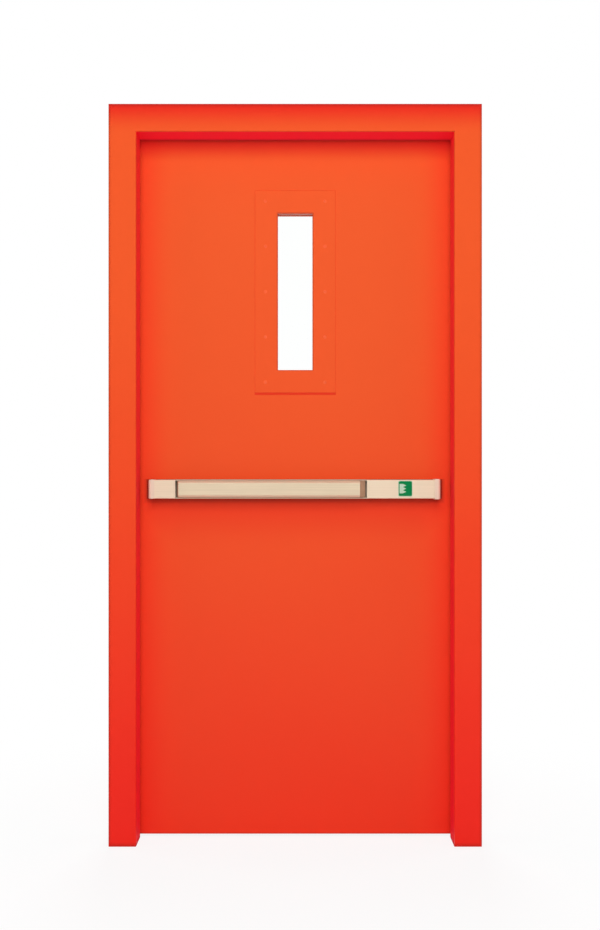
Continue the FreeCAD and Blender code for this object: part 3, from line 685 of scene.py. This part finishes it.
# %% Corner welds
FRAME_SHEET = 0.0015
STOP_STEP = 0.020
MITRE_BEAD, MITRE_RISE = 0.004, 0.5
SHEET_CLEAR = 0.003
head_low, head_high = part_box("frame_head")
inner_x, inner_z = jamb_low.x - frame_x, head_high.z - face_width
sheets = (
    ("push", head_low.y + FRAME_SHEET, 0.0, 1),
    ("pull", head_high.y - FRAME_SHEET, STOP_STEP, -1),
)
for sheet, sheet_y, inset, inward in sheets:
    near, far = inset + SHEET_CLEAR, face_width - 2 * SHEET_CLEAR
    for jamb, side in (("latch", -1), ("hinge", 1)):
        start = (frame_x + side * (inner_x + near), sheet_y, inner_z + near)
        end = (frame_x + side * (inner_x + far), sheet_y, inner_z + far)
        across = np.array((side, 0, -1)) * MITRE_BEAD / math.sqrt(2)
        beads = weld_beads([start], [end], across, (0, inward * MITRE_BEAD * MITRE_RISE, 0), np.pi)
        grid_piece(f"{sheet}_{jamb}_corner_weld", beads, "frame", "orange_red_paint")

# %% [markdown]
# Each strap is tacked where the frame's lips end on it, with a small bead in the corner
# between the lip's edge and the strap. Each foot has one bead along either side of its
# upstand, against the inside of the push face.

# %% Strap and foot welds
LIP_WIDTH = 0.015
STRAP_WIDTH, STRAP_PITCH, STRAP_COUNT = 0.040, 0.550, 4
STRAP_BEAD, STRAP_SPREAD, TACK_HALF = 0.0013, 1.6, 0.42
FOOT_BEAD = 0.003
FOOT_BEND = 0.012
strap_z = (head_high.z / 2) + (np.arange(STRAP_COUNT) - (STRAP_COUNT - 1) / 2) * STRAP_PITCH
for jamb, side in (("hinge", 1), ("latch", -1)):
    low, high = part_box(f"{jamb}_jamb_wall_anchors")
    face_x = high.x if side > 0 else low.x
    lips = ((head_low.y + LIP_WIDTH, 1), (head_high.y - LIP_WIDTH, -1))
    beads = []
    for lip_y, inward in lips:
        middle = np.array([(face_x, lip_y, z) for z in strap_z])
        half = np.array((0, 0, STRAP_WIDTH * TACK_HALF))
        way, rise = (0, inward * STRAP_BEAD * STRAP_SPREAD, 0), (side * STRAP_BEAD, 0, 0)
        beads.append(weld_beads(middle - half, middle + half, way, rise, np.pi / 2))
    grid_piece(f"{jamb}_strap_welds", np.concatenate(beads), "frame", "orange_red_paint")
    low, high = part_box(f"{jamb}_jamb_floor_anchor")
    beads = []
    for edge_x, outward in ((low.x, -1), (high.x, 1)):
        start, end = (edge_x, low.y, low.z + FOOT_BEND), (edge_x, low.y, high.z - SHEET_CLEAR)
        way, rise = (outward * FOOT_BEAD, 0, 0), (0, FOOT_BEAD, 0)
        beads.append(weld_beads([start], [end], way, rise, np.pi / 2))
    grid_piece(f"{jamb}_foot_welds", np.concatenate(beads), "frame", "orange_red_paint")

# %% [markdown]
# ## End caps of the bar
# Each end of the bar closes in a moulded cap with soft edges, a shade duller than the
# covers and without their shine. The solid model has the cap as a hollow block with a round
# nose. Here it is a skin of rows that run from the root to the nose: every row is a rounded
# rectangle, and the rows near the nose shrink along a quarter circle. The caps replace the
# plain solids and stay inside their boxes.

# %% Caps as shrinking rounded rectangles
CAP_NOSE = 0.008
CAP_ROWS = 9
CAP_CORNER = 0.0022
CORNER_STEPS = 6
NOSE_SIDES = 0.35


def rounded_rectangle(half_y, half_z, corner):
    """Corner arcs in turn: corner centre plus corner * (cos a, sin a), a quarter each."""
    quarter = np.linspace(0, np.pi / 2, CORNER_STEPS)
    angle = (np.arange(4)[:, None] * np.pi / 2 + quarter[None, :]).ravel()
    signs = np.repeat(np.array([(1, 1), (-1, 1), (-1, -1), (1, -1)]), CORNER_STEPS, axis=0)
    centre_y = signs[:, 0] * (half_y - corner)
    centre_z = signs[:, 1] * (half_z - corner)
    return centre_y + corner * np.cos(angle), centre_z + corner * np.sin(angle)


def cap_skin(low, high, way):
    """Rows from the root to the nose; the front and the long edges draw in at the nose."""
    root_x, tip_x = (low.x, high.x) if way > 0 else (high.x, low.x)
    half_y, half_z = (high.y - low.y) / 2, (high.z - low.z) / 2
    ring_y, ring_z = rounded_rectangle(half_y, half_z, CAP_CORNER)
    turn = np.linspace(0, np.pi / 2, CAP_ROWS)
    draw = np.concatenate([[0, 0, 0], CAP_NOSE * (1 - np.cos(turn)), [CAP_NOSE]])
    run = np.concatenate([[0, 0], [abs(tip_x - root_x) - CAP_NOSE]])
    run = np.concatenate([run, run[-1] + CAP_NOSE * np.sin(turn), [run[-1] + CAP_NOSE]])
    shrink_y = 1 - draw[:, None] / (2 * half_y)
    shrink_z = 1 - draw[:, None] * NOSE_SIDES / half_z
    shrink_y[0], shrink_z[0], shrink_y[-1], shrink_z[-1] = 0, 0, 0, 0
    back_y = (high.y - half_y) + (1 - shrink_y) * half_y
    y = back_y + ring_y[None, :] * shrink_y
    z = (low.z + high.z) / 2 + ring_z[None, :] * shrink_z
    x = np.broadcast_to(root_x + way * run[:, None], y.shape)
    return np.stack([x, y, z], axis=-1)


cap_tone = moulded(
    "champagne_cap_plastic", (0.74, 0.58, 0.45, 1), (0.81, 0.64, 0.51, 1), 0.4, 0.000004)
for end, way in (("latch", -1), ("hinge", 1)):
    node = f"exit_bar_{end}_end_cap"
    rows = cap_skin(*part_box(node), way)[None]
    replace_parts(grid_piece(f"{end}_end_cap", rows, "leaf", "champagne_aluminium", cap_tone), node)

# %% [markdown]
# ## The little sign
# A small green plate sits on the fixed cover at the hinge end, with a pale field whose
# edge runs in three points. The design here is a plain one. A plate with round corners is
# a superellipse carried through a few rows: middle, edge, back edge and middle again. The
# field is a ruled surface from a straight edge to a zigzag one.

# %% Green plate and its pale field
SIGN_WIDTH, SIGN_HEIGHT, SIGN_THICK = 0.038, 0.0425, 0.0008
SIGN_FROM_CAP = 0.084
SIGN_RISE = 0.0015
SIGN_BORDER = 0.0015
# Shares of the sign's width, of its height and of its thickness.
FIELD_LEFT, FIELD_RIGHT, FIELD_POINT, FIELD_HALF = 0.44, 0.18, 0.24, 0.32
GREEN_THICK, FIELD_FRONT, FIELD_BACK = 1.5, 1.7, 0.5
cover_low, cover_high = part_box("exit_bar_hinge_cover")
sign_x = cover_high.x - SIGN_FROM_CAP
sign_z = (cover_low.z + cover_high.z) / 2 + SIGN_RISE
sign_y = cover_low.y


def rounded_plate(centre, half_x, half_z, thick, power=14.0, rays=96):
    """Rows of one superellipse |x|^p + |z|^p = 1: middle, face edge, rim, back, middle."""
    angle = np.linspace(0, 2 * np.pi, rays, endpoint=False)
    c, s = np.cos(angle), np.sin(angle)
    reach = (abs(c) ** power + abs(s) ** power) ** (-1 / power)
    ring = np.stack([half_x * reach * c, np.zeros(rays), half_z * reach * s], axis=-1)
    share = np.array([0, 0.97, 1, 1, 0])[:, None, None]
    depth = np.array([-1, -1, -0.7, 0, 0])[:, None, None] * thick
    return np.asarray(centre) + ring * share + depth * np.array((0, 1, 0))


def zigzag_field(left, right, point, low, high, front, back, teeth=3):
    """Closed strip from a straight left edge to a right edge of so many points."""
    z = np.linspace(low, high, 2 * teeth + 1)
    edge = np.where(np.arange(z.size) % 2, right + point, right)
    straight = np.full(z.size, left)
    columns = [(straight, front), (edge, front), (edge, back), (straight, back)]
    return np.stack([np.stack([x, np.full(z.size, y), z], axis=-1) for x, y in columns], axis=1)


sign_green = moulded(
    "sign_green_film", (0.0, 0.175, 0.047, 1), (0.0, 0.215, 0.062, 1), 0.6, 0.000004)
sign_pale = moulded(
    "sign_pale_film", (0.42, 0.56, 0.41, 1), (0.52, 0.64, 0.50, 1), 0.5, 0.000004)
plates = (
    ("sign_backing_plate", SIGN_BORDER, SIGN_THICK, sign_pale),
    ("sign_green_plate", 0.0, SIGN_THICK * GREEN_THICK, sign_green),
)
for name, border, thick, finish in plates:
    plate = rounded_plate(
        (sign_x, sign_y, sign_z), SIGN_WIDTH / 2 + border, SIGN_HEIGHT / 2 + border, thick)
    grid_piece(name, plate[None], "leaf", "bronze_plastic", finish)
field = zigzag_field(
    sign_x - SIGN_WIDTH * FIELD_LEFT, sign_x - SIGN_WIDTH * FIELD_RIGHT, SIGN_WIDTH * FIELD_POINT,
    sign_z - SIGN_HEIGHT * FIELD_HALF, sign_z + SIGN_HEIGHT * FIELD_HALF,
    sign_y - SIGN_THICK * FIELD_FRONT, sign_y - SIGN_THICK * FIELD_BACK)
grid_piece("sign_pale_field", field[None], "leaf", "bronze_plastic", sign_pale)

# %% [markdown]
# ## Studio
# The door stands on a pale floor in front of nothing at all. Soft light comes from all
# round, as in a white tent. A wide soft lamp in front, somewhat above the head, gives the
# short shadows below head and bar. A weak one on either hand reaches into the reveals. The
# same set stands behind for the other side.
# The world is plain white for the eye, for reflections and through glass, and dimmer as a
# light. The floor takes the door's shadow close by and fades into the white further off.

# %% World, floor and lamps
AMBIENT = 0.14
FADE_START, FADE_END = 0.5, 1.7
FADE_LEAST = 0.86
FLOOR_WHITE, FLOOR_PATCHES = 0.96, 0.01
BLACK, WHITE = (0, 0, 0, 1), (1, 1, 1, 1)
frame_y = (cad_low.y + cad_high.y) / 2


def seen_ray(tree):
    """1 for what the camera sees, also in a reflection or through glass, and 0 for light."""
    path = tree.nodes.new("ShaderNodeLightPath").outputs
    direct, mirrored, through = (
        Wire(path[f"Is {kind} Ray"]) for kind in ("Camera", "Glossy", "Transmission"))
    return larger(larger(direct, mirrored), through)


world = bpy.data.worlds.new("white_tent")
world.use_nodes = True
world.node_tree.nodes.clear()
seen = seen_ray(world.node_tree)
strength = seen * (1 - AMBIENT) + AMBIENT
backdrop = seen.node("ShaderNodeBackground", None, {"Color": WHITE, "Strength": strength})
seen.node("ShaderNodeOutputWorld", None, {"Surface": backdrop})
bpy.context.scene.world = world


def floor_finish():
    """White floor that keeps the shadow near the door and turns plain white far off."""
    material, place = new_finish("pale_floor")
    ends = {0: place, 1: (frame_x, frame_y, 0)}
    distance = place.node("ShaderNodeVectorMath", {"operation": "DISTANCE"}, ends, "Value")
    shade = cloud(place, 6.0) * FLOOR_PATCHES + FLOOR_WHITE
    matt = place.node("ShaderNodeBsdfDiffuse", None, {"Color": blend(shade, BLACK, WHITE)})
    glow = place.node("ShaderNodeEmission", None, {"Color": WHITE, "Strength": 1.0})
    far = slope(distance, FADE_START, FADE_END) * (1 - FADE_LEAST) + FADE_LEAST
    far = far * seen_ray(material.node_tree)
    mixed = place.node("ShaderNodeMixShader", None, {0: far, 1: matt, 2: glow})
    place.node("ShaderNodeOutputMaterial", None, {"Surface": mixed})
    return material


FLOOR_HALF = 40.0
FLOOR_DROP = 0.0005
floor_mesh = bpy.data.meshes.new("studio_floor")
floor_corners = np.array([(-1, -1, 0), (1, -1, 0), (1, 1, 0), (-1, 1, 0)]) * FLOOR_HALF
floor_corners = floor_corners - (0, 0, FLOOR_DROP)
floor_mesh.from_pydata(floor_corners, [], [(0, 1, 2, 3)])
floor_mesh.materials.append(floor_finish())
floor = bpy.data.objects.new("studio_floor", floor_mesh)
bpy.context.scene.collection.objects.link(floor)

LAMP_WIDE, LAMP_TALL = 2.2, 3.0
LAMP_POWER = 201.0
LAMP_AWAY, LAMP_HEIGHT = 5.0, 3.35
FILL_WIDE, FILL_POWER = 1.4, 25.0
FILL_ASIDE, FILL_AWAY = 4.0, 1.6


def soft_lamp(name, spot, wide, power):
    """An area lamp at a spot beside the frame's middle line, aimed at the door's middle."""
    light = bpy.data.lights.new(name, "AREA")
    light.shape = "RECTANGLE"
    light.size, light.size_y = wide, LAMP_TALL
    light.energy = power
    lamp = bpy.data.objects.new(name, light)
    lamp.location = Vector(spot) + Vector((frame_x, 0, 0))
    aim = Vector((frame_x, 0, FRAME_TOP / 2)) - lamp.location
    lamp.rotation_euler = aim.to_track_quat("-Z", "Y").to_euler()
    lamp.visible_camera = False
    lamp.visible_glossy = False
    lamp.visible_transmission = False
    bpy.context.scene.collection.objects.link(lamp)
    print(name, round(aim.length, 2), "m from the door")


for stand, way in (("front", -1), ("back", 1)):
    soft_lamp(f"{stand}_lamp", (0, way * LAMP_AWAY, LAMP_HEIGHT), LAMP_WIDE, LAMP_POWER)
    for hand, aside in (("left", -FILL_ASIDE), ("right", FILL_ASIDE)):
        spot = (aside, way * FILL_AWAY, LAMP_HEIGHT)
        soft_lamp(f"{stand}_{hand}_fill", spot, FILL_WIDE, FILL_POWER)

# %% [markdown]
# ## Camera
# The picture was taken squarely from the push side, at about the height of the bar, from
# three and a half metres. The reveals give that distance: their inner edges are seen a
# little way in from the outer ones. The lens then follows from the width of the frame in
# the picture.

# %% Camera at the photograph's viewing place
PICTURE_HEIGHT = 930
FOCAL_PIXELS = 1227.8
AXIS_RIGHT, AXIS_DOWN = -4.8, 13.0
EYE_DISTANCE = 3.52
EYE_HEIGHT = 1.042
camera_data = bpy.data.cameras.new("camera")
camera_data.sensor_width = 36.0
camera_data.lens = FOCAL_PIXELS * camera_data.sensor_width / PICTURE_HEIGHT
camera_data.shift_x = -AXIS_RIGHT / PICTURE_HEIGHT
camera_data.shift_y = AXIS_DOWN / PICTURE_HEIGHT
camera = bpy.data.objects.new("camera", camera_data)
camera.location = (frame_x, -EYE_DISTANCE, EYE_HEIGHT)
camera.rotation_euler = (math.pi / 2, 0, 0)
bpy.context.scene.collection.objects.link(camera)
bpy.context.scene.camera = camera
bpy.context.scene.view_settings.view_transform = "Standard"
print("lens", round(camera_data.lens, 2), "mm")

# %% [markdown]
# ## Finish
# Dressing must not make the door larger. The box of the bare solids is printed at the start,
# and here the scene is brought up to date.

# %% Bring the scene up to date
bpy.context.view_layer.update()
